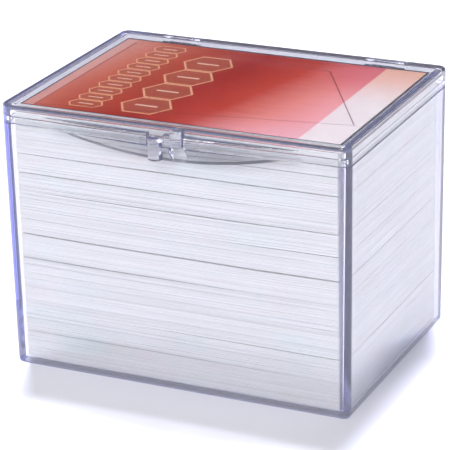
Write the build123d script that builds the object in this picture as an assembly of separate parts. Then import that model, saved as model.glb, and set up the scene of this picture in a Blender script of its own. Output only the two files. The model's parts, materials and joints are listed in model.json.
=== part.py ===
from build123d import *
import math
import os

# Hinged clear box for a deck of collecting cards, in millimetres.
# Row frame: origin at the centre of the box's underside, +X to the right along the front,
# +Y from the front (where the finger knobs are) to the hinge, +Z up.

# ---- the deck ----
CARD_LENGTH = 88.9
CARD_WIDTH = 63.5
CARD_THICKNESS = 0.33
CARD_AIR = 0.01  # between one card and the next
CARD_COUNT = 200
CARDS_PER_BUNDLE = 10
DECK_PLAY = 0.12  # how far single cards lie out of line with the deck
DECK_SETTLE = 0.3  # the lowest card lies this far left of and behind the middle

# ---- the moulded walls ----
WALL = 2.2
FLOOR = 1.6
LID_PLATE = 1.6
CARD_GAP = 0.7  # between a centred card and each wall, at the floor
DRAFT_OUT = 0.5  # how much further out each wall stands at the rim than at the floor
HEADROOM = 1.3  # between the top card and the lid's plate
SKIRT = 5.2  # height of the lid's side
SEAM_GAP = 0.08  # between the lid's lower edge and the tray's rim

# ---- corners and edges ----
CORNER_RADIUS = 2.4
INNER_CORNER_RADIUS = 0.8
FOOT_ROUND = 1.2
TOP_ROUND = 0.9
RIM_ROUND = 0.22
INSIDE_FLOOR_ROUND = 0.3
INSIDE_LID_ROUND = 0.5

# ---- rebated rim: the tray's lip stands inside the lid's skirt ----
LIP_THICKNESS = 0.7
LIP_HEIGHT = 1.5
LIP_CLEARANCE = 0.1
LIP_ROUND = 0.15

# ---- snap: a bead inside the lid's skirt clicks into a groove in the tray's lip ----
BEAD_RADIUS = 0.3
BEAD_REACH = 0.2
BEAD_LENGTH = 16.0
BEAD_HEIGHT = 0.75  # above the seam
BEAD_CLEARANCE = 0.08

# ---- crescent ledges on the front, and the two finger knobs ----
LID_LEDGE_HALF_CHORD = 36.0
LID_LEDGE_REACH = 1.9
LID_LEDGE_HEIGHT = 2.85
LEDGE_ROUND = 0.35
TRAY_LEDGE_HALF_CHORD = 31.0
TRAY_LEDGE_REACH = 2.6
TRAY_LEDGE_DEPTH = 4.2
KNOB_RADIUS = 1.9
KNOB_OFFSET = 3.1  # each knob's axis from the middle of the front
KNOB_STANDOFF = 1.4  # each knob's axis from the front face
KNOB_ROUND = 0.5
KNOB_CLEARANCE = 0.3
TRAY_KNOB_ABOVE_SEAM = 2.1
TRAY_KNOB_BELOW_SEAM = 3.8
LID_KNOB_BELOW_TOP = 0.3
NAIL_NOTCH_RADIUS = 2.4

# ---- hinge: a bar on the lid snaps down into an open hook on the tray, twice ----
HINGE_SPACING = 60.0
PIN_RADIUS = 0.9
PIN_CLEARANCE = 0.05
KNUCKLE_RADIUS = 2.0
KNUCKLE_CLEARANCE = 0.2
HOOK_WIDTH = 6.0
HOOK_THROAT = 1.5
CHEEK_WIDTH = 2.2
CHEEK_GAP = 0.25
HINGE_STANDOFF = 0.05  # the hinge line stands this far behind the back face

# ---- moulding gate under the floor ----
GATE_WELL_RADIUS = 2.5
GATE_WELL_DEPTH = 0.5
GATE_STUB_RADIUS = 0.7
GATE_STUB_HEIGHT = 0.3
GATE_BEHIND_MIDDLE = 12.0

# ---- worked out from the above ----
CARD_PITCH = CARD_THICKNESS + CARD_AIR
DECK_HEIGHT = CARD_COUNT * CARD_PITCH
LENGTH = CARD_LENGTH + 2 * (CARD_GAP + DRAFT_OUT + WALL)
DEPTH = CARD_WIDTH + 2 * (CARD_GAP + DRAFT_OUT + WALL)
HEIGHT = FLOOR + DECK_HEIGHT + HEADROOM + LID_PLATE
SEAM = HEIGHT - SKIRT
FRONT = -DEPTH / 2
BACK = DEPTH / 2
LID_BOTTOM = SEAM + SEAM_GAP
HINGE_Y = BACK + HINGE_STANDOFF
ALONG_X = (0, 90, 0)
REACH = 4 * (LENGTH + DEPTH)  # larger than any part, for cutting blocks


def rounded_block(length, depth, radius, low, high):
    """An upright block with rounded corners, centred on the Z axis, from low to high."""
    return extrude(Pos(0, 0, low) * RectangleRounded(length, depth, radius), high - low)


def drafted_block(length, depth, radius, low, high):
    """A block of the given size at its top, whose sides lean in by the draft over the tray's height."""
    lean = math.degrees(math.atan2(DRAFT_OUT, SEAM - FLOOR))
    top = Pos(0, 0, high) * RectangleRounded(length, depth, radius)
    return extrude(top, high - low, dir=(0, 0, -1), taper=lean)


def rod(radius, width, x, y, z):
    """A cylinder along X, centred on the given point."""
    return Pos(x, y, z) * Rot(*ALONG_X) * Cylinder(radius, width)


def post(radius, x, y, low, high):
    """An upright cylinder from low to high."""
    return Pos(x, y, low) * Cylinder(radius, high - low, align=(Align.CENTER, Align.CENTER, Align.MIN))


def block(x, y, z):
    """A box between the given pairs of limits."""
    size = [pair[1] - pair[0] for pair in (x, y, z)]
    middle = [(pair[0] + pair[1]) / 2 for pair in (x, y, z)]
    return Pos(*middle) * Box(*size)


def edges_at(shape, height):
    """The edges that lie wholly at one height."""
    tolerance = 1e-4
    return [
        edge
        for edge in shape.edges()
        if abs(edge.bounding_box().min.Z - height) < tolerance
        and abs(edge.bounding_box().max.Z - height) < tolerance
    ]


def crescent(half_chord, reach, sink, height):
    """A flat crescent at the given height that bows out of the front by reach and sinks into the wall."""
    left = (-half_chord, FRONT, height)
    right = (half_chord, FRONT, height)
    back_left = (-half_chord, FRONT + sink, height)
    back_right = (half_chord, FRONT + sink, height)
    outline = ThreePointArc(left, (0, FRONT - reach, height), right) + Polyline(right, back_right, back_left, left)
    return make_face(outline)


def hinge_places():
    """The X of each hinge's middle."""
    return (-HINGE_SPACING / 2, HINGE_SPACING / 2)


def cheek_places(middle):
    """The X of the middles of the lid's two cheeks at one hinge."""
    offset = HOOK_WIDTH / 2 + CHEEK_GAP + CHEEK_WIDTH / 2
    return (middle - offset, middle + offset)


def tray_walls():
    """The open tray: drafted walls, floor, and the lip that stands inside the lid's skirt."""
    outside = drafted_block(LENGTH, DEPTH, CORNER_RADIUS, 0, SEAM)
    outside = fillet(edges_at(outside, 0), FOOT_ROUND)
    outside = fillet(edges_at(outside, SEAM), RIM_ROUND)
    lip_grow = 2 * (LIP_THICKNESS - WALL)
    lip = rounded_block(
        LENGTH + lip_grow, DEPTH + lip_grow, CORNER_RADIUS + lip_grow / 2, SEAM - FLOOR, SEAM + LIP_HEIGHT
    )
    lip = fillet(edges_at(lip, SEAM + LIP_HEIGHT), LIP_ROUND)
    inside_length = LENGTH - 2 * WALL
    inside_depth = DEPTH - 2 * WALL
    inside = drafted_block(inside_length, inside_depth, INNER_CORNER_RADIUS, FLOOR, SEAM)
    inside = fillet(edges_at(inside, FLOOR), INSIDE_FLOOR_ROUND)
    mouth = rounded_block(inside_length, inside_depth, INNER_CORNER_RADIUS, SEAM, SEAM + 2 * LIP_HEIGHT)
    return outside + lip - inside - mouth


def snap_bead(grow):
    """The catch's half-round bead along the front, or with grow the groove that it clicks into."""
    face = FRONT + WALL - LIP_THICKNESS - LIP_CLEARANCE
    centre = face + BEAD_REACH - BEAD_RADIUS
    length = BEAD_LENGTH + 2 * grow
    return rod(BEAD_RADIUS + grow, length, 0, centre, SEAM + BEAD_HEIGHT)


def tray_ledge():
    """The tray's crescent ledge, with a slanted underside and a notch for a fingernail under the lid's knob."""
    sink = WALL / 4  # how deep in the wall the ledge's lower end lies
    slant = (0, TRAY_LEDGE_REACH, -TRAY_LEDGE_DEPTH)
    length = math.hypot(*slant) * (TRAY_LEDGE_REACH + sink) / TRAY_LEDGE_REACH
    ledge = extrude(crescent(TRAY_LEDGE_HALF_CHORD, TRAY_LEDGE_REACH, sink, SEAM), length, dir=slant)
    ledge -= block((-REACH, REACH), (FRONT + WALL / 2, REACH), (0, SEAM))
    notch = post(NAIL_NOTCH_RADIUS, KNOB_OFFSET, FRONT - KNOB_STANDOFF - KNOB_CLEARANCE, 0, HEIGHT)
    return ledge - (notch & block((-REACH, REACH), (-REACH, FRONT), (0, HEIGHT)))


def tray_knob():
    """The tray's finger knob, flat behind where it stands in front of the lid."""
    knob = post(
        KNOB_RADIUS, -KNOB_OFFSET, FRONT - KNOB_STANDOFF, SEAM - TRAY_KNOB_BELOW_SEAM, SEAM + TRAY_KNOB_ABOVE_SEAM
    )
    knob = fillet(knob.edges().filter_by(GeomType.CIRCLE), KNOB_ROUND)
    behind_lid_face = block((-REACH, REACH), (FRONT - KNOB_CLEARANCE, REACH), (SEAM, REACH))
    inside_wall = block((-REACH, REACH), (FRONT + WALL / 2, REACH), (0, REACH))
    return knob - behind_lid_face - inside_wall


def tray_hook(middle):
    """One open hook at the hinge: a ring on the back rim whose throat faces up."""
    ring = rod(KNUCKLE_RADIUS, HOOK_WIDTH, middle, HINGE_Y, SEAM)
    bore = rod(PIN_RADIUS + PIN_CLEARANCE, HOOK_WIDTH, middle, HINGE_Y, SEAM)
    throat = block(
        (middle - HOOK_WIDTH / 2, middle + HOOK_WIDTH / 2),
        (HINGE_Y - HOOK_THROAT / 2, HINGE_Y + HOOK_THROAT / 2),
        (SEAM, SEAM + KNUCKLE_RADIUS),
    )
    inside = block((-REACH, REACH), (-REACH, BACK - WALL), (0, REACH))
    return ring - bore - throat - inside


def hook_space(middle):
    """The room that one hook's ring needs in the wall around it."""
    return rod(KNUCKLE_RADIUS + KNUCKLE_CLEARANCE, HOOK_WIDTH + 2 * CHEEK_GAP, middle, HINGE_Y, SEAM)


def cheek_space(middle):
    """The room that one of the lid's cheeks needs in the tray's back wall."""
    return rod(KNUCKLE_RADIUS + KNUCKLE_CLEARANCE, CHEEK_WIDTH + 2 * CHEEK_GAP, middle, HINGE_Y, SEAM)


def bore_space(middle):
    """The hook's bore, cleared through whatever of the back wall stands in it."""
    return rod(PIN_RADIUS + PIN_CLEARANCE, HOOK_WIDTH + 2 * CHEEK_GAP, middle, HINGE_Y, SEAM)


def gate_mark():
    """A shallow well under the floor, with the stub of the moulding gate standing in it."""
    well = post(GATE_WELL_RADIUS, 0, GATE_BEHIND_MIDDLE, 0, GATE_WELL_DEPTH)
    stub = post(GATE_STUB_RADIUS, 0, GATE_BEHIND_MIDDLE, GATE_WELL_DEPTH - GATE_STUB_HEIGHT, GATE_WELL_DEPTH)
    return well - stub


def tray():
    """The deep moulded tray that holds the deck."""
    shape = tray_walls() + tray_ledge()
    for middle in hinge_places():
        shape -= hook_space(middle)
        for cheek in cheek_places(middle):
            shape -= cheek_space(cheek)
        shape += tray_hook(middle) + hook_root(middle)
    shape += tray_knob()
    return shape - snap_bead(BEAD_CLEARANCE) - gate_mark()


def hook_root(middle):
    """The wall behind one hook, which joins its ring to the tray, cleared for the bar."""
    root = block(
        (middle - HOOK_WIDTH / 2, middle + HOOK_WIDTH / 2),
        (BACK - WALL, BACK),
        (SEAM - KNUCKLE_RADIUS - 2 * KNUCKLE_CLEARANCE, SEAM),
    )
    return root - bore_space(middle)


def lid_walls():
    """The lid's plate and skirt, thinned at the bottom to stand outside the tray's lip."""
    outside = rounded_block(LENGTH, DEPTH, CORNER_RADIUS, LID_BOTTOM, HEIGHT)
    outside = fillet(edges_at(outside, HEIGHT), TOP_ROUND)
    outside = fillet(edges_at(outside, LID_BOTTOM), RIM_ROUND)
    under_plate = HEIGHT - LID_PLATE
    inside = rounded_block(LENGTH - 2 * WALL, DEPTH - 2 * WALL, INNER_CORNER_RADIUS, 0, under_plate)
    inside = fillet(edges_at(inside, under_plate), INSIDE_LID_ROUND)
    rebate_shrink = 2 * (WALL - LIP_THICKNESS - LIP_CLEARANCE)
    rebate = rounded_block(
        LENGTH - rebate_shrink,
        DEPTH - rebate_shrink,
        CORNER_RADIUS - rebate_shrink / 2,
        0,
        SEAM + LIP_HEIGHT + LIP_CLEARANCE,
    )
    return outside - inside - rebate


def lid_ledge():
    """The lid's crescent ledge, cut away round the tray's knob."""
    ledge = extrude(crescent(LID_LEDGE_HALF_CHORD, LID_LEDGE_REACH, WALL / 4, LID_BOTTOM), LID_LEDGE_HEIGHT)
    top = edges_at(ledge, LID_BOTTOM + LID_LEDGE_HEIGHT)
    ledge = fillet([edge for edge in top if edge.geom_type == GeomType.CIRCLE], LEDGE_ROUND)
    side = KNOB_RADIUS + KNOB_CLEARANCE
    return ledge - block((-KNOB_OFFSET - side, -KNOB_OFFSET + side), (-REACH, FRONT), (0, HEIGHT))


def lid_knob():
    """The lid's finger knob."""
    knob = post(KNOB_RADIUS, KNOB_OFFSET, FRONT - KNOB_STANDOFF, LID_BOTTOM, HEIGHT - LID_KNOB_BELOW_TOP)
    knob = fillet(knob.edges().filter_by(GeomType.CIRCLE), KNOB_ROUND)
    return knob - block((-REACH, REACH), (FRONT + WALL / 4, REACH), (0, REACH))


def lid_hinge(middle):
    """One hinge's bar and the two round cheeks that carry it."""
    bar_length = HOOK_WIDTH + 2 * CHEEK_GAP + CHEEK_WIDTH
    shape = rod(PIN_RADIUS, bar_length, middle, HINGE_Y, SEAM)
    for cheek in cheek_places(middle):
        shape += rod(KNUCKLE_RADIUS, CHEEK_WIDTH, cheek, HINGE_Y, SEAM)
    return shape - block((-REACH, REACH), (-REACH, BACK - WALL), (0, REACH))


def lid():
    """The shallow moulded lid."""
    shape = lid_walls() + lid_ledge() + lid_knob() + (snap_bead(0) & lid_bead_reach())
    for middle in hinge_places():
        shape -= hook_space(middle)
    for middle in hinge_places():
        shape += lid_hinge(middle)
    return shape


def lid_bead_reach():
    """Keeps the bead from standing out through the front of the skirt."""
    return block((-REACH, REACH), (FRONT + BEAD_RADIUS, 0), (0, HEIGHT))


def card(index):
    """One card of the deck, counted from the bottom. The deck leans back and left against the drafted walls."""
    lean = DECK_SETTLE + DRAFT_OUT * index / CARD_COUNT
    x = -lean + DECK_PLAY * math.sin(2.4 * index)
    y = lean + DECK_PLAY * math.cos(1.7 * index)
    low = FLOOR + index * CARD_PITCH
    return Pos(x, y, low) * Box(
        CARD_LENGTH, CARD_WIDTH, CARD_THICKNESS, align=(Align.CENTER, Align.CENTER, Align.MIN)
    )


def deck():
    """The deck's nodes: bundles of loose cards from the bottom up, and the printed card on top."""
    nodes = {"face_card": Compound([card(CARD_COUNT - 1)])}
    plain = range(CARD_COUNT - 1)
    for number, first in enumerate(range(0, CARD_COUNT, CARDS_PER_BUNDLE), start=1):
        cards = [card(index) for index in plain[first : first + CARDS_PER_BUNDLE]]
        if cards:
            nodes[f"card_bundle_{number:02d}"] = Compound(cards)
    return nodes


os.makedirs("parts", exist_ok=True)
for name, shape in {"tray": tray(), "lid": lid(), **deck()}.items():
    export_step(shape, f"parts/{name}.step")
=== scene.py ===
import functools
import itertools
import json
import math
import random

import bmesh
import bpy
from mathutils import Matrix, Vector


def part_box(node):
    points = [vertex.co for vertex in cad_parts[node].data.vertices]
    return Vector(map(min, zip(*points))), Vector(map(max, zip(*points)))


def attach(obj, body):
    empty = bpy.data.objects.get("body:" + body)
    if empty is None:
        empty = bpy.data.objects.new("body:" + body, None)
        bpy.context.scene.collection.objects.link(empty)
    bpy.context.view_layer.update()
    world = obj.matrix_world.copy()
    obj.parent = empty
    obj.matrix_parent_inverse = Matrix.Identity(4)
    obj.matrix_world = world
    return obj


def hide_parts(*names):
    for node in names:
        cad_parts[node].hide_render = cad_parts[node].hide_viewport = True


bl_info = {
    "name": "Clear card box",
    "version": (1, 0, 0),
    "blender": (4, 5, 0),
    "location": "3D View > Sidebar > Card Box",
    "description": "A hinged clear box with a deck of collecting cards lying in it",
    "category": "Object",
}

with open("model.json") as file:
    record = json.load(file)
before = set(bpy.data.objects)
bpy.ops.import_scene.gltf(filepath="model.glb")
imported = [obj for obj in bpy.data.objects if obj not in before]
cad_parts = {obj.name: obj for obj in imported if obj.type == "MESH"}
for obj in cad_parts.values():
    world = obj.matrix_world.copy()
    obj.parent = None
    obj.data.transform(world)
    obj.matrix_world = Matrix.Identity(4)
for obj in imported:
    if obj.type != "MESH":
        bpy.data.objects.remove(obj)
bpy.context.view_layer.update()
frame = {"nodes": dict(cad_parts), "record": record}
MM = 0.001

BODY_OF_THE_DECK = "base"
BUNDLES = sorted(name for name in frame["nodes"] if name.startswith("card_bundle_"))
CARDS_IN_THE_DECK = 200
CARDS_IN_A_BUNDLE = 10
DECK_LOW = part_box(BUNDLES[0])[0].z
FACE_LOW, FACE_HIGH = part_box("face_card")
DECK_HIGH = FACE_LOW.z

# The hinge's axis stands just off the back, which is as far from the middle as the front is.
HINGE_LINE = frame["record"]["behaviour"]["joints"][0]["pos_m"]
HINGE_STANDOFF = 0.05 * MM
BACK_FACE = HINGE_LINE[1] - HINGE_STANDOFF
SIDE_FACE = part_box("lid")[1].x
SEAM = HINGE_LINE[2]

# The tray's ledge ends in an arc on the front, this wide each way and this deep below the seam in the middle.
LEDGE_HALF_CHORD = 31.0 * MM
LEDGE_DEPTH = 4.2 * MM


# ---- shader building ----


class Signal:
    """A shader socket that can stand in sums, products and powers."""

    def __init__(self, paint, socket):
        self.paint = paint
        self.socket = socket

    def __add__(self, other):
        return self.paint.maths("ADD", self, other)

    def __sub__(self, other):
        return self.paint.maths("SUBTRACT", self, other)

    def __rsub__(self, other):
        return self.paint.maths("SUBTRACT", other, self)

    def __mul__(self, other):
        return self.paint.maths("MULTIPLY", self, other)

    def __truediv__(self, other):
        return self.paint.maths("DIVIDE", self, other)

    def __pow__(self, other):
        return self.paint.maths("POWER", self, other)

    def __abs__(self):
        return self.paint.maths("ABSOLUTE", self)

    __radd__ = __add__
    __rmul__ = __mul__


class Paint:
    """Builds the node tree of one material or world."""

    def __init__(self, tree):
        self.tree = tree
        self.tree.nodes.clear()

    def node(self, kind, settings=None, sockets=None):
        """Adds one node, with its settings and then the values or links of its sockets."""
        made = self.tree.nodes.new(kind)
        for name, value in (settings or {}).items():
            setattr(made, name, value)
        for key, value in (sockets or {}).items():
            self.join(made.inputs[key], value)
        return made

    def join(self, socket, value):
        """Gives a socket a link or a plain value."""
        if isinstance(value, Signal):
            self.tree.links.new(value.socket, socket)
        else:
            socket.default_value = value

    def maths(self, operation, *values):
        """A Math node on the given values."""
        made = self.node("ShaderNodeMath", {"operation": operation}, dict(enumerate(values)))
        return Signal(self, made.outputs[0])

    def largest(self, a, b):
        return self.maths("MAXIMUM", a, b)

    def step(self, value, start, end):
        """Rises smoothly from 0 at start to 1 at end, and falls where end is the lower."""
        low, high, at_low, at_high = (start, end, 0.0, 1.0) if start < end else (end, start, 1.0, 0.0)
        made = self.node(
            "ShaderNodeMapRange",
            {"interpolation_type": "SMOOTHSTEP"},
            {"Value": value, "From Min": low, "From Max": high, "To Min": at_low, "To Max": at_high},
        )
        return Signal(self, made.outputs[0])

    def mix(self, share, first, second):
        """A mix of two colours."""
        made = self.node(
            "ShaderNodeMix",
            {"data_type": "RGBA", "blend_type": "MIX", "clamp_factor": True},
            {0: share, 6: first, 7: second},
        )
        return Signal(self, made.outputs[2])

    def ramp(self, value, stops):
        """A colour ramp through (position, colour) stops."""
        made = self.node("ShaderNodeValToRGB", sockets={0: value})
        elements = made.color_ramp.elements
        while len(elements) < len(stops):
            elements.new(1.0)
        for element, (position, colour) in zip(elements, stops):
            element.position = position
            element.color = colour
        return Signal(self, made.outputs[0])

    def place(self):
        """The object's own coordinates, as X, Y and Z in millimetres."""
        source = self.node("ShaderNodeTexCoord")
        split = self.node("ShaderNodeSeparateXYZ", sockets={0: Signal(self, source.outputs["Object"])})
        return [Signal(self, socket) * (1 / MM) for socket in split.outputs]

    def vector(self, x, y, z):
        made = self.node("ShaderNodeCombineXYZ", sockets={0: x, 1: y, 2: z})
        return Signal(self, made.outputs[0])

    def noise(self, place, scale=1.0, detail=2.0, roughness=0.5):
        """Noise between 0 and 1 over a vector."""
        made = self.node(
            "ShaderNodeTexNoise",
            sockets={"Vector": place, "Scale": scale, "Detail": detail, "Roughness": roughness},
        )
        return Signal(self, made.outputs[0])

    def attribute(self, name):
        made = self.node("ShaderNodeAttribute", {"attribute_name": name})
        return Signal(self, made.outputs["Fac"])

    def bump(self, height, strength, distance):
        made = self.node(
            "ShaderNodeBump", sockets={"Height": height, "Strength": strength, "Distance": distance}
        )
        return Signal(self, made.outputs[0])


def new_material(name):
    """An empty material and the paint that builds its nodes."""
    material = bpy.data.materials.new(name)
    material.use_nodes = True
    return material, Paint(material.node_tree)


def screen_colour(red, green, blue):
    """A shader colour from the 0 to 255 values of a colour on a screen."""
    parts = [value / 255 for value in (red, green, blue)]
    linear = [p / 12.92 if p <= 0.04045 else ((p + 0.055) / 1.055) ** 2.4 for p in parts]
    return (*linear, 1.0)


# ---- materials ----


STRAIN_ROSE = (0.93, 0.89, 0.915, 1.0)
STRAIN_TEAL = (0.87, 0.915, 0.93, 1.0)
# Painted shade colours: violet for the tray's corners, near black for the lower edge of its ledge.
PAINTED_CORNER_SHADE_VIOLET = (0.4, 0.38, 0.62, 1.0)
PAINTED_LEDGE_SHADE_DARK = (0.05, 0.05, 0.07, 1.0)
LET_THROUGH = (0.95, 0.95, 0.95, 1.0)


def painted_shade_in_corners(paint, x, y, z):
    """Where shade is painted: 1 in the tray's upright corners, less in front, and on the ends of its back wall.
    """
    back, side, seam = BACK_FACE / MM, SIDE_FACE / MM, SEAM / MM
    near_end = paint.step(abs(x), side - 3.2, side - 2.7)
    near_front_or_back = paint.step(abs(y), back - 3.2, back - 2.7)
    back_wall = paint.step(abs(x), side - 7.5, side - 6.0) * paint.step(y, back - 2.6, back - 2.3)
    below_the_seam = paint.step(z, seam, seam - 0.4)
    return paint.largest(near_end * near_front_or_back * 0.65, back_wall) * below_the_seam


def painted_shade_on_ledge(paint, x, y, z):
    """Where shade is painted: 1 on the lower edge of the tray's ledge, an arc that fades out at its ends."""
    front, seam = -BACK_FACE / MM, SEAM / MM
    along = x * (MM / LEDGE_HALF_CHORD)
    profile = paint.largest(1.0 - along * along, 0.0)
    above_edge = z - seam + profile * (LEDGE_DEPTH / MM)
    on_front = paint.step(y, front + 0.4, front + 0.2)
    line = paint.step(abs(above_edge - 0.4), 0.6, 0.4) * on_front * paint.step(profile, 0.0, 0.25)
    return line * paint.step(z, seam, seam - 0.3)


def plastic_tint(paint, x, y, z, settings):
    """What each face lets through: moulding strain all over, and painted shade in the corners and on the ledge's
    lower edge.
    """
    strain = paint.noise(paint.vector(x * 0.05, y * 0.05, z * 0.11), detail=1.0)
    second = paint.noise(paint.vector(x * 0.09 + 31.0, y * 0.09, z * 0.17), detail=1.0)
    tint = paint.mix(paint.step(second, 0.55, 0.72), (*settings.tint, 1.0), STRAIN_ROSE)
    tint = paint.mix(paint.step(strain, 0.56, 0.74), tint, STRAIN_TEAL)
    # Painted shade in the tray's upright corners and on the ends of its back wall.
    tint = paint.mix(painted_shade_in_corners(paint, x, y, z) * settings.painted_corner_shade, tint, PAINTED_CORNER_SHADE_VIOLET)
    # Painted shade along the lower edge of the tray's ledge.
    return paint.mix(painted_shade_on_ledge(paint, x, y, z) * settings.painted_ledge_shade, tint, PAINTED_LEDGE_SHADE_DARK)


def clear_plastic(name, settings):
    """Crystal polystyrene, blue-violet where light runs far along a wall, and with a painted glow in its volume
    that stands in for light carried along the walls.

    Light on its way to the cards and the floor goes straight through, and the raised pieces in front hold some
    of it back.
    """
    material, paint = new_material(name)
    x, y, z = paint.place()
    handling = paint.noise(paint.vector(x * 0.7, y * 0.7, z * 0.7), detail=3.0)
    ripple = paint.noise(paint.vector(x * 0.06, y * 0.06, z * 0.06), detail=1.0)
    glass = paint.node(
        "ShaderNodeBsdfPrincipled",
        sockets={
            "Base Color": plastic_tint(paint, x, y, z, settings),
            "Roughness": paint.step(handling, 0.5, 0.8) * settings.handling_wear,
            "IOR": settings.refraction,
            "Transmission Weight": 1.0,
            "Normal": paint.bump(ripple, 0.12, 0.4 * MM),
        },
    )
    passing = paint.node("ShaderNodeBsdfTransparent", sockets={0: LET_THROUGH})
    path = paint.node("ShaderNodeLightPath")
    shadow_ray = Signal(paint, path.outputs["Is Shadow Ray"])
    diffuse_ray = Signal(paint, path.outputs["Is Diffuse Ray"])
    in_relief = paint.step(y, -BACK_FACE / MM - 0.15, -BACK_FACE / MM - 0.3)
    mixed = paint.node(
        "ShaderNodeMixShader",
        sockets={
            0: paint.largest(shadow_ray, diffuse_ray) * (1.0 - in_relief * settings.relief_shadow),
            1: Signal(paint, glass.outputs[0]),
            2: Signal(paint, passing.outputs[0]),
        },
    )
    depth = paint.node(
        "ShaderNodeVolumeAbsorption",
        sockets={"Color": (*settings.depth_colour, 1.0), "Density": settings.depth_density},
    )
    # Painted light: the plastic's volume glows without a lamp, standing in for light that the walls carry along.
    glow = paint.node(
        "ShaderNodeEmission",
        sockets={"Color": (*settings.painted_glow_colour, 1.0), "Strength": settings.painted_glow_strength},
    )
    inside = paint.node(
        "ShaderNodeAddShader",
        sockets={0: Signal(paint, depth.outputs[0]), 1: Signal(paint, glow.outputs[0])},
    )
    paint.node(
        "ShaderNodeOutputMaterial",
        sockets={"Surface": Signal(paint, mixed.outputs[0]), "Volume": Signal(paint, inside.outputs[0])},
    )
    return material


def card_stock(settings):
    """The white core of the cards, finely mottled where it is cut, each card a little lighter or darker."""
    material, paint = new_material("card_stock_paper")
    x, y, z = paint.place()
    tone = paint.attribute("tone")
    fibre = paint.noise(paint.vector(x * 0.9, y * 0.9, z * 9.0), detail=4.0, roughness=0.7)
    cloud = paint.noise(paint.vector(x * 0.04, y * 0.04, z * 0.5), detail=2.0)
    pale = paint.mix(tone, screen_colour(214, 214, 212), screen_colour(230, 230, 226))
    streaked = paint.mix(paint.step(fibre, 0.62, 0.35) * 0.3, pale, screen_colour(186, 187, 192))
    colour = paint.mix(paint.step(cloud, 0.35, 0.7) * 0.25, streaked, (*settings.stock_colour, 1.0))
    paper = paint.node(
        "ShaderNodeBsdfPrincipled",
        sockets={
            "Base Color": colour,
            "Roughness": fibre * 0.2 + 0.6,
            "Normal": paint.bump(fibre, 0.3, 0.04 * MM),
        },
    )
    paint.node("ShaderNodeOutputMaterial", sockets={"Surface": Signal(paint, paper.outputs[0])})
    return material


def hexagon(paint, x, y, half_x, half_y):
    """How far outside a long hexagon with its points along X a place lies, negative inside."""
    return paint.largest(abs(y) - half_y, abs(x) + abs(y) * 0.55 - half_x)


def stroke(paint, distance, half_width, soft=0.12):
    """1 on a line where the distance is 0, fading at its sides."""
    return paint.step(abs(distance), half_width + soft, half_width - soft)


def repeated(paint, value, start, pitch):
    """The value measured from the middle of its own cell in a row of cells."""
    part = paint.maths("FRACT", (value - start) / pitch)
    return (part - 0.5) * pitch


def badge_row(paint, colour, x, y, row):
    """Draws one row of plain outlined hexagons, each with a pale bar across its middle."""
    across = x - row["middle"]
    along = repeated(paint, y, row["start"], row["pitch"])
    distance = hexagon(paint, across, along, row["half_width"], row["half_pitch"])
    inside_row = paint.step(y, row["start"] - 0.01, row["start"] + 0.01) * paint.step(
        y, row["end"] + 0.01, row["end"] - 0.01
    )
    fill = paint.step(distance, 0.1, -0.1) * inside_row
    outline = stroke(paint, distance, row["line"]) * inside_row
    bar = paint.largest(abs(across) - row["half_width"] * 0.45, abs(along) - row["bar"])
    colour = paint.mix(fill * 0.6, colour, screen_colour(176, 92, 66))
    colour = paint.mix(outline * 0.9, colour, screen_colour(244, 184, 140))
    return paint.mix(paint.step(bar, 0.1, -0.1) * inside_row * 0.8, colour, screen_colour(255, 222, 196))


def straight_line(paint, x, y, start, end, half_width=0.14):
    """1 on the straight line between two places."""
    run = Vector(end) - Vector(start)
    length = run.length
    unit = run / length
    off_x = x - start[0]
    off_y = y - start[1]
    along = off_x * unit.x + off_y * unit.y
    across = off_x * (-unit.y) + off_y * unit.x
    return stroke(paint, across, half_width) * paint.step(along, -0.1, 0.1) * paint.step(
        along, length + 0.1, length - 0.1
    )


SMALL_BADGES = {
    "middle": 15.8, "half_width": 4.7, "start": 5.2, "end": 60.2, "pitch": 5.5, "half_pitch": 2.45,
    "line": 0.22, "bar": 0.28,
}
LARGE_BADGES = {
    "middle": 31.2, "half_width": 7.0, "start": 5.6, "end": 55.2, "pitch": 12.4, "half_pitch": 5.8,
    "line": 0.32, "bar": 0.45,
}
PRINT_STOPS = (
    (0.0, (218, 134, 116)),
    (0.09, (206, 104, 80)),
    (0.22, (182, 66, 38)),
    (0.42, (160, 20, 0)),
    (0.6, (192, 58, 36)),
    (0.75, (242, 142, 132)),
    (0.86, (255, 170, 174)),
    (1.0, (255, 206, 210)),
)


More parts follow.
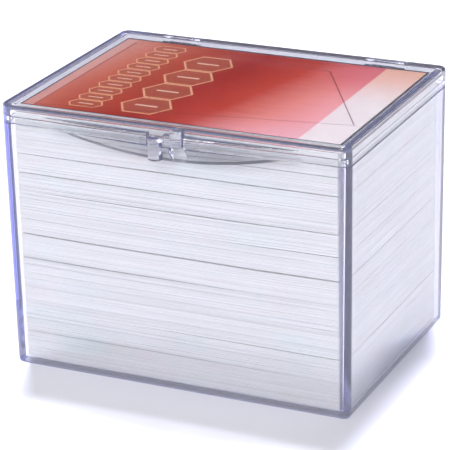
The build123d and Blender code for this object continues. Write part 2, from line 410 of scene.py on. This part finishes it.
def card_print(settings):
    """The printed face: red that pales to pink, thin ruled lines and two rows of plain badges, under gloss."""
    material, paint = new_material("card_print_gloss")
    low = FACE_LOW / MM
    x, y, z = paint.place()
    x = x - low.x
    y = y - low.y
    length = (FACE_HIGH.x - FACE_LOW.x) / MM
    width = (FACE_HIGH.y - FACE_LOW.y) / MM
    grain = paint.noise(paint.vector(x * 0.06, y * 0.9, 0.0), detail=3.0)
    slanted = (x - (y - width / 2) * 0.22 + (grain - 0.5) * 5.0) / length
    stops = [(position, screen_colour(*colour)) for position, colour in PRINT_STOPS]
    colour = paint.ramp(slanted, stops)
    # Paler pink towards the front edge of the card.
    front_pale_pink = paint.step(y, 18.0, 0.0) * paint.step(x, 40.0, 70.0)
    colour = paint.mix(front_pale_pink * 0.45, colour, screen_colour(248, 190, 208))
    back_rose = paint.step(y, 34.0, 56.0) * paint.step(x, 58.0, 72.0)
    colour = paint.mix(back_rose * 0.55, colour, screen_colour(214, 82, 108))
    left_back = paint.step(y, 24.0, 60.0) * paint.step(x, 14.0, 3.0)
    colour = paint.mix(left_back * 0.4, colour, screen_colour(222, 150, 132))
    band = paint.step(x, 77.1, 77.3)
    band_colour = paint.mix(
        paint.step(y, 30.0, 64.0), screen_colour(255, 246, 246), screen_colour(252, 198, 172)
    )
    colour = paint.mix(band * 0.9, colour, band_colour)
    margin = 3.6
    left_margin = paint.step(x, margin, margin - 0.2)
    colour = paint.mix(left_margin * 0.55, colour, screen_colour(232, 184, 176))
    for row in (SMALL_BADGES, LARGE_BADGES):
        colour = badge_row(paint, colour, x, y, row)
    point = (86.2, 16.5)
    corner = (64.0, 55.0)
    ruled = straight_line(paint, x, y, (margin, 3.2), point)
    ruled = paint.largest(ruled, straight_line(paint, x, y, point, corner, 0.17))
    fading = straight_line(paint, x, y, (30.0, 59.0), corner) * paint.step(x, 32.0, 62.0)
    ruled = paint.largest(ruled, fading)
    ruled = paint.largest(ruled, straight_line(paint, x, y, (margin, 3.2), (margin + 0.6, width - 3.6)))
    colour = paint.mix(ruled * 0.75, colour, screen_colour(92, 34, 40))
    # Dark along all four edges of the card.
    sides = paint.largest(paint.step(x, 0.55, 0.4), paint.step(length - x, 0.75, 0.6))
    ends = paint.largest(paint.step(width - y, 1.0, 0.85), paint.step(y, 2.3, 2.1))
    colour = paint.mix(paint.largest(sides, ends) * 0.95, colour, screen_colour(24, 50, 64))
    side = paint.step(z, FACE_HIGH.z / MM - 0.04, FACE_HIGH.z / MM - 0.08)
    colour = paint.mix(side, colour, (*settings.stock_colour, 1.0))
    dots = paint.noise(paint.vector(x, y, 0.0), scale=6.0, detail=1.0)
    surface = paint.node(
        "ShaderNodeBsdfPrincipled",
        sockets={
            "Base Color": colour,
            "Roughness": dots * 0.06 + 0.16,
            "Specular IOR Level": 0.35,
            "Normal": paint.bump(dots, 0.05, 0.02 * MM),
        },
    )
    paint.node("ShaderNodeOutputMaterial", sockets={"Surface": Signal(paint, surface.outputs[0])})
    return material


def floor_paint():
    """Plain pale seamless paper, a little cool."""
    material, paint = new_material("studio_floor")
    x, y, _ = paint.place()
    grain = paint.noise(paint.vector(x * 0.02, y * 0.02, 0.0), detail=2.0)
    colour = paint.mix(grain, (0.83, 0.83, 0.885, 1.0), (0.85, 0.85, 0.905, 1.0))
    surface = paint.node(
        "ShaderNodeBsdfPrincipled",
        sockets={"Base Color": colour, "Roughness": 0.9, "Specular IOR Level": 0.1},
    )
    paint.node("ShaderNodeOutputMaterial", sockets={"Surface": Signal(paint, surface.outputs[0])})
    return material


# ---- pieces ----


def object_from(mesh_maker, name, material):
    """Links a new object at the origin with the mesh that a bmesh holds."""
    mesh = bpy.data.meshes.new(name)
    mesh_maker.to_mesh(mesh)
    mesh_maker.free()
    made = bpy.data.objects.new(name, mesh)
    made.data.materials.append(material)
    bpy.context.scene.collection.objects.link(made)
    return made


def add_card(shape, low, high, x_segments, y_segments):
    """Adds one flat closed card to a bmesh, and returns its vertices."""
    grid = bmesh.ops.create_grid(shape, x_segments=x_segments, y_segments=y_segments, size=0.5)["verts"]
    bmesh.ops.scale(shape, vec=(high.x - low.x, high.y - low.y, 1.0), verts=grid)
    bmesh.ops.translate(shape, vec=((low.x + high.x) / 2, (low.y + high.y) / 2, low.z), verts=grid)
    faces = list({face for vertex in grid for face in vertex.link_faces})
    raised = bmesh.ops.extrude_face_region(shape, geom=faces)["geom"]
    top = [item for item in raised if isinstance(item, bmesh.types.BMVert)]
    bmesh.ops.translate(shape, vec=(0.0, 0.0, high.z - low.z), verts=top)
    return grid + top


# Where the deck gapes: the card above the gap, how wide it gapes beside a common gap, where along the deck it is
# widest (-1 at the left end, 1 at the right) and how far along it reaches.
DECK_GAPS = (
    (22, 6.0, -0.6, 1.1),
    (41, 9.0, 0.5, 1.2),
    (63, 5.0, 0.9, 0.8),
    (84, 8.0, -0.8, 1.0),
    (103, 14.0, -0.2, 2.2),
    (121, 7.0, 0.8, 0.9),
    (138, 10.0, 0.1, 1.4),
    (152, 9.0, -0.7, 1.2),
    (167, 11.0, 0.0, 1.8),
    (181, 5.0, 0.6, 0.9),
    (190, 6.0, -0.5, 1.0),
)


@functools.lru_cache(maxsize=None)
def stack_heights(u, v, thickness):
    """The height of each card's underside at one place of the deck. u and v run from -1 to 1 over a card."""
    draw = random.Random(7)
    shares = []
    for index in range(CARDS_IN_THE_DECK):
        wave = draw.uniform(0.0, 2 * math.pi)
        share = draw.uniform(0.3, 1.5) * (1.0 + 0.5 * math.sin(wave + 1.6 * u + 1.1 * v))
        for card, width, widest, reach in DECK_GAPS:
            if index == card:
                share += width * max(0.0, 1.0 - ((u - widest + 0.3 * v) / reach) ** 2)
        shares.append(share)
    room = DECK_HIGH - DECK_LOW - (CARDS_IN_THE_DECK - 1) * thickness
    air = room / sum(shares)
    sums = itertools.accumulate(shares)
    return [DECK_LOW + index * thickness + total * air for index, total in enumerate(sums)]


def build_bundle(number, node, material, settings):
    """One bundle of loose cards, each bowed a little its own way."""
    low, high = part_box(node)
    first = number * CARDS_IN_A_BUNDLE
    count = min(CARDS_IN_A_BUNDLE, CARDS_IN_THE_DECK - 1 - first)
    draw = random.Random(100 + number)
    slack = settings.deck_play
    shape = bmesh.new()
    tone = shape.verts.layers.float.new("tone")
    for index in range(first, first + count):
        shift = Vector((draw.uniform(-slack, slack), draw.uniform(-slack, slack), 0.0))
        inset = Vector((slack, slack, 0.0))
        bottom = Vector((low.x, low.y, 0.0)) + inset + shift
        top = Vector((high.x, high.y, settings.card_thickness)) - inset + shift
        vertices = add_card(shape, bottom, top, 8, 5)
        middle = (bottom + top) / 2
        half = (top - bottom) / 2
        brightness = draw.uniform(0.0, 1.0)
        for vertex in vertices:
            u = round((vertex.co.x - middle.x) / half.x, 2)
            v = round((vertex.co.y - middle.y) / half.y, 2)
            vertex.co.z += stack_heights(u, v, settings.card_thickness)[index]
            vertex[tone] = brightness
    bmesh.ops.recalc_face_normals(shape, faces=shape.faces)
    piece = object_from(shape, f"loose_cards_{number + 1:02d}", material)
    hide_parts(node)
    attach(piece, BODY_OF_THE_DECK)


def build_face_card(settings):
    """The printed card on top of the deck, with edges eased by the die that cut it."""
    shape = bmesh.new()
    add_card(shape, FACE_LOW, FACE_HIGH, 12, 8)
    bmesh.ops.recalc_face_normals(shape, faces=shape.faces)
    rim = [edge for edge in shape.edges if edge.calc_face_angle(0.0) > math.radians(60)]
    bmesh.ops.bevel(
        shape,
        geom=rim,
        offset=settings.card_edge_ease,
        offset_type="OFFSET",
        segments=2,
        profile=0.5,
        affect="EDGES",
        material=-1,
    )
    piece = object_from(shape, "printed_card", card_print(settings))
    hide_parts("face_card")
    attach(piece, BODY_OF_THE_DECK)


# ---- stage ----

VIEW_AIM = Vector((-1.4, -0.55, 33.25)) * MM
VIEW_DISTANCE = 623.6 * MM
VIEW_AZIMUTH = math.radians(25.14)
VIEW_ELEVATION = math.radians(21.35)
VIEW_ROLL = math.radians(-1.31)
LENS = 188.4
SENSOR = 36.0


def view_matrix():
    """The camera's place and turn: from the front right, a little above."""
    back = Vector(
        (
            math.sin(VIEW_AZIMUTH) * math.cos(VIEW_ELEVATION),
            -math.cos(VIEW_AZIMUTH) * math.cos(VIEW_ELEVATION),
            math.sin(VIEW_ELEVATION),
        )
    )
    level = Vector((0, 0, 1)).cross(back).normalized()
    upright = back.cross(level)
    right = level * math.cos(VIEW_ROLL) + upright * math.sin(VIEW_ROLL)
    up = upright * math.cos(VIEW_ROLL) - level * math.sin(VIEW_ROLL)
    turn = Matrix((right, up, back)).transposed()
    return Matrix.Translation(VIEW_AIM + back * VIEW_DISTANCE) @ turn.to_4x4()


def add_camera():
    """The scene's camera, without depth of field."""
    data = bpy.data.cameras.new("camera")
    data.lens = LENS
    data.sensor_width = SENSOR
    data.clip_start = 0.01
    camera = bpy.data.objects.new("camera", data)
    camera.matrix_world = view_matrix()
    bpy.context.scene.collection.objects.link(camera)
    bpy.context.scene.camera = camera


def add_sun(name, towards, strength, width):
    """A far white lamp that stands towards the given direction and looks this wide from the box."""
    data = bpy.data.lights.new(name, "SUN")
    data.energy = strength
    data.angle = width
    lamp = bpy.data.objects.new(name, data)
    lamp.rotation_euler = Vector(towards).to_track_quat("Z", "Y").to_euler()
    bpy.context.scene.collection.objects.link(lamp)


def add_softbox(name, place, size, power):
    """A square softbox at a place, turned towards the middle of the box."""
    data = bpy.data.lights.new(name, "AREA")
    data.energy = power
    data.size = size
    lamp = bpy.data.objects.new(name, data)
    lamp.location = place
    lamp.rotation_euler = (place - VIEW_AIM).to_track_quat("Z", "Y").to_euler()
    bpy.context.scene.collection.objects.link(lamp)


TENT_STRENGTH = 0.48
TENT_COLOURS = (
    (0.0, (0.7, 0.7, 0.75, 1.0)),
    (0.5, (0.6, 0.6, 0.72, 1.0)),
    (0.62, (0.78, 0.78, 0.84, 1.0)),
    (0.85, (1.0, 1.0, 1.0, 1.0)),
)
FLAG_BLACK = (0.03, 0.03, 0.045, 1.0)
ROOM_DARK = (0.05, 0.05, 0.07, 1.0)
SIDE_DARK = (0.1, 0.1, 0.13, 1.0)


def add_world():
    """A soft tent of light, white overhead and lavender lower down, with dark parts that the plastic mirrors.

    A black flag stands behind the box, the room is dark low down in front, and the right side is shaded.
    """
    world = bpy.data.worlds.new("tent")
    world.use_nodes = True
    bpy.context.scene.world = world
    paint = Paint(world.node_tree)
    source = paint.node("ShaderNodeTexCoord")
    split = paint.node("ShaderNodeSeparateXYZ", sockets={0: Signal(paint, source.outputs["Generated"])})
    across, depth, height = [Signal(paint, socket) for socket in split.outputs]
    colour = paint.ramp(height * 0.5 + 0.5, TENT_COLOURS)
    flag = paint.step(depth, 0.5, 0.7) * paint.step(height, 0.22, 0.28) * paint.step(height, 0.75, 0.62)
    colour = paint.mix(flag, colour, FLAG_BLACK)
    room = paint.step(depth, -0.45, -0.75) * paint.step(abs(height), 0.45, 0.25)
    colour = paint.mix(room * 0.85, colour, ROOM_DARK)
    shaded_side = paint.step(across, 0.2, 0.7) * paint.step(height, 0.8, 0.5)
    colour = paint.mix(shaded_side * 0.6, colour, SIDE_DARK)
    light = paint.node("ShaderNodeBackground", sockets={0: colour, 1: TENT_STRENGTH})
    paint.node("ShaderNodeOutputWorld", sockets={"Surface": Signal(paint, light.outputs[0])})


def add_floor():
    """A wide flat floor under the box."""
    shape = bmesh.new()
    bmesh.ops.create_grid(shape, x_segments=4, y_segments=4, size=3.0)
    floor = object_from(shape, "floor", floor_paint())


def set_light_paths():
    """Lets light through enough walls of clear plastic, without caustics."""
    scene = bpy.context.scene
    scene.view_settings.view_transform = "Standard"
    scene.cycles.max_bounces = 20
    scene.cycles.transmission_bounces = 20
    scene.cycles.glossy_bounces = 8
    scene.cycles.transparent_max_bounces = 32
    scene.cycles.caustics_reflective = False
    scene.cycles.caustics_refractive = False


# ---- add-on ----


class CardBoxSettings(bpy.types.PropertyGroup):
    """The sizes and colours of the box and its deck."""

    card_thickness: bpy.props.FloatProperty(
        name="Card thickness", description="Thickness of one card", default=0.3 * MM,
        unit="LENGTH", subtype="DISTANCE",
    )
    deck_play: bpy.props.FloatProperty(
        name="Deck play",
        description="How far single cards lie out of line with the deck",
        default=0.07 * MM,
        unit="LENGTH",
        subtype="DISTANCE",
    )
    card_edge_ease: bpy.props.FloatProperty(
        name="Card edge ease",
        description="How far the printed card's cut edges are eased",
        default=0.05 * MM,
        unit="LENGTH",
        subtype="DISTANCE",
    )
    stock_colour: bpy.props.FloatVectorProperty(
        name="Card stock", description="Colour of the cards' white core", default=(0.84, 0.84, 0.85), size=3,
        min=0.0, max=1.0, subtype="COLOR",
    )
    tint: bpy.props.FloatVectorProperty(
        name="Plastic tint", description="Colour that each face of the plastic lets through",
        default=(0.9, 0.905, 0.925), size=3, min=0.0, max=1.0, subtype="COLOR",
    )
    depth_colour: bpy.props.FloatVectorProperty(
        name="Plastic depth", description="Colour that light takes on along the inside of a wall",
        default=(0.72, 0.74, 0.96), size=3, min=0.0, max=1.0, subtype="COLOR",
    )
    depth_density: bpy.props.FloatProperty(
        name="Depth density", description="How fast light takes on the depth colour, per metre",
        default=60.0, min=0.0,
    )
    # Painted light: the glow is emitted by the plastic itself, in place of light carried along the walls; it is
    # no real scattering.
    painted_glow_colour: bpy.props.FloatVectorProperty(
        name="Edge glow", description="Colour of the light that the plastic scatters along the inside of a wall",
        default=(0.84, 0.86, 1.0), size=3, min=0.0, max=1.0, subtype="COLOR",
    )
    painted_glow_strength: bpy.props.FloatProperty(
        name="Edge glow strength", description="How much light a wall scatters along itself, per metre",
        default=6.0, min=0.0,
    )
    refraction: bpy.props.FloatProperty(
        name="Refraction", description="Index of refraction of the plastic", default=1.59, min=1.0, max=2.0
    )
    relief_shadow: bpy.props.FloatProperty(
        name="Relief shadow", description="How much light the knobs and ledges on the front hold back",
        default=0.75, min=0.0, max=1.0, subtype="FACTOR",
    )
    # Painted shade: how strongly the tray's upright corners and the ends of its back wall are darkened.
    painted_corner_shade: bpy.props.FloatProperty(
        name="Corner shade", description="How much darker the tray's four upright corners are",
        default=0.9, min=0.0, max=1.0, subtype="FACTOR",
    )
    # Painted shade: how dark the painted line on the ledge's lower edge is.
    painted_ledge_shade: bpy.props.FloatProperty(
        name="Ledge shade", description="How dark the lower edge of the tray's ledge is", default=0.9,
        min=0.0, max=1.0, subtype="FACTOR",
    )
    handling_wear: bpy.props.FloatProperty(
        name="Handling wear", description="Roughness of the plastic where it is handled", default=0.05, min=0.0,
        max=1.0, subtype="FACTOR",
    )


class CARDBOX_OT_plastic(bpy.types.Operator):
    """Give the tray and the lid their clear plastic"""

    bl_idname = "cardbox.plastic"
    bl_label = "Clear plastic"

    def execute(self, context):
        settings = context.scene.card_box
        for node in ("tray", "lid"):
            frame["nodes"][node].material_slots[0].material = clear_plastic(f"clear_{node}_plastic", settings)
        return {"FINISHED"}


class CARDBOX_OT_bundles(bpy.types.Operator):
    """Lay the loose cards in the tray"""

    bl_idname = "cardbox.bundles"
    bl_label = "Loose cards"

    def execute(self, context):
        settings = context.scene.card_box
        material = card_stock(settings)
        for number, node in enumerate(BUNDLES):
            build_bundle(number, node, material, settings)
        return {"FINISHED"}


class CARDBOX_OT_face_card(bpy.types.Operator):
    """Lay the printed card on the deck"""

    bl_idname = "cardbox.face_card"
    bl_label = "Printed card"

    def execute(self, context):
        build_face_card(context.scene.card_box)
        return {"FINISHED"}


class CARDBOX_OT_stage(bpy.types.Operator):
    """Set up the floor, the light and the camera"""

    bl_idname = "cardbox.stage"
    bl_label = "Stage"

    def execute(self, context):
        add_camera()
        add_floor()
        add_world()
        add_sun("key", towards=(-9.8, 23.3, 71.5), strength=3.7, width=math.radians(7))
        add_sun("front_fill", towards=(0.0, -0.84, 0.52), strength=1.95, width=math.radians(30))
        add_softbox("side_fill", place=Vector((500.0, -350.0, 300.0)) * MM, size=0.3, power=0.1)
        set_light_paths()
        return {"FINISHED"}


STEPS = (CARDBOX_OT_stage, CARDBOX_OT_plastic, CARDBOX_OT_bundles, CARDBOX_OT_face_card)


class CARDBOX_PT_panel(bpy.types.Panel):
    """Lists the box's sizes, colours and steps"""

    bl_label = "Card Box"
    bl_idname = "CARDBOX_PT_panel"
    bl_space_type = "VIEW_3D"
    bl_region_type = "UI"
    bl_category = "Card Box"

    def draw(self, context):
        settings = context.scene.card_box
        for name in CardBoxSettings.__annotations__:
            self.layout.prop(settings, name)
        for step in STEPS:
            self.layout.operator(step.bl_idname)


CLASSES = (CardBoxSettings, *STEPS, CARDBOX_PT_panel)


def register():
    for item in CLASSES:
        bpy.utils.register_class(item)
    bpy.types.Scene.card_box = bpy.props.PointerProperty(type=CardBoxSettings)


def unregister():
    del bpy.types.Scene.card_box
    for item in reversed(CLASSES):
        bpy.utils.unregister_class(item)


def main():
    """Builds everything in order."""
    register()
    bpy.ops.cardbox.stage()
    bpy.ops.cardbox.plastic()
    bpy.ops.cardbox.bundles()
    bpy.ops.cardbox.face_card()


if __name__ == "__main__":
    main()
